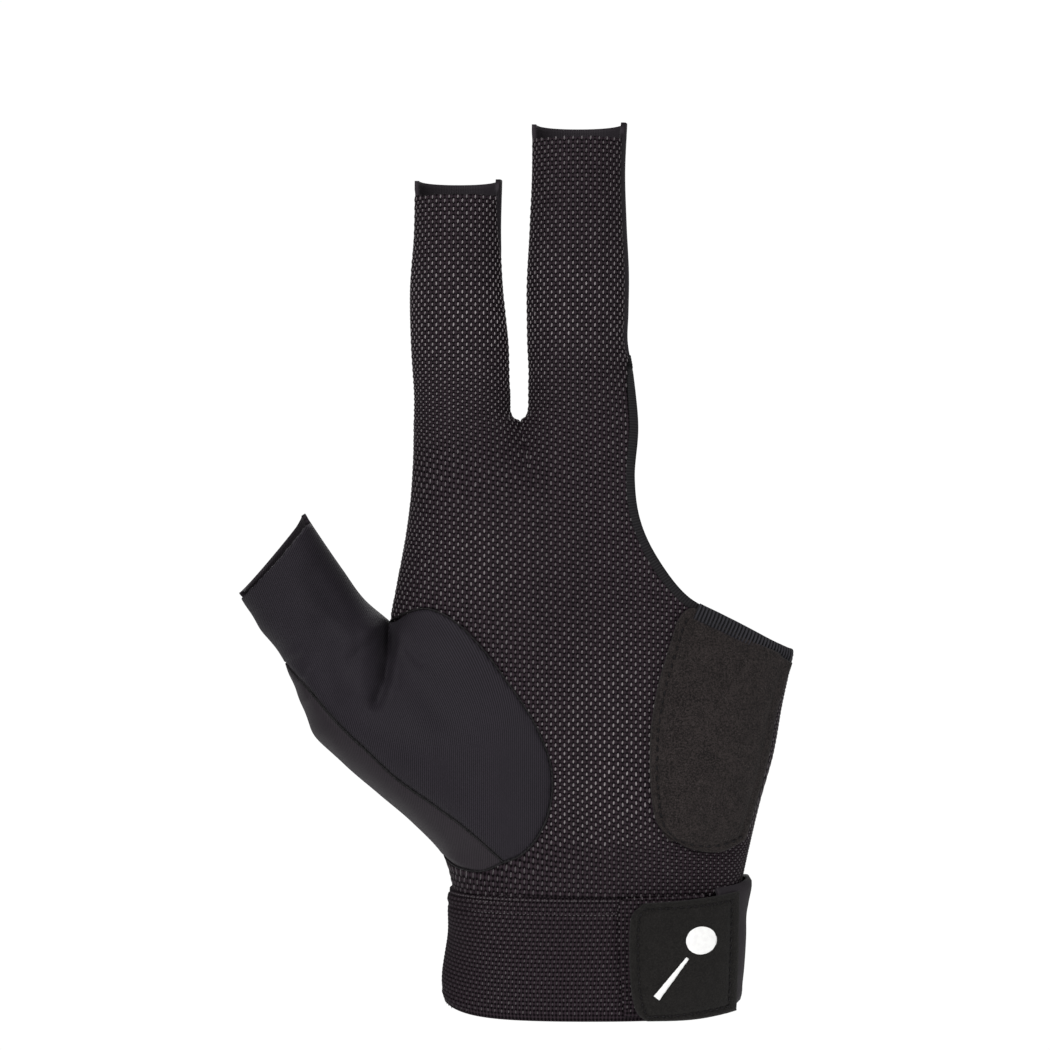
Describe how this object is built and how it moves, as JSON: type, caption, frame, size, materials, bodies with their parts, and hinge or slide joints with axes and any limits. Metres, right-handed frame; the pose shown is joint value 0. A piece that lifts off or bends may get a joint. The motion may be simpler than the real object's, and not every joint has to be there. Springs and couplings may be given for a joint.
{
  "type": "billiard glove",
  "caption": "Left-hand glove in its worn form, open for the ring and little fingers, with a mesh palm, a heel patch and a wrist tab.",
  "frame": {"origin": "centre of the cuff's mouth, where the wrist goes in", "axes": "+Z from the cuff to the fingertips, -Y out of the palm, -X to the thumb"},
  "size_m": [0.1237, 0.046, 0.1983],
  "materials": {
    "palm_mesh": "spacer mesh with pale dots",
    "thumb_panel": "ribbed stretch knit",
    "back_panel": "smooth stretch knit",
    "cutout_hem": "folded knit band",
    "back_hem": "folded knit band",
    "patch_hem": "ribbed edge band",
    "heel_patch": "synthetic suede",
    "cuff": "spacer mesh with pale dots",
    "strap": "smooth stretch knit",
    "tab": "synthetic suede, hook side down",
    "loop_patch": "loop pile"
  },
  "bodies": {
    "root": {"palm_mesh": "palm_mesh", "thumb_panel": "thumb_panel", "back_panel": "back_panel", "cutout_hem": "cutout_hem", "back_hem": "back_hem", "patch_hem": "patch_hem", "heel_patch": "heel_patch", "cuff": "cuff", "strap": "strap", "tab": "tab", "loop_patch": "loop_patch"}
  },
  "joints": []
}
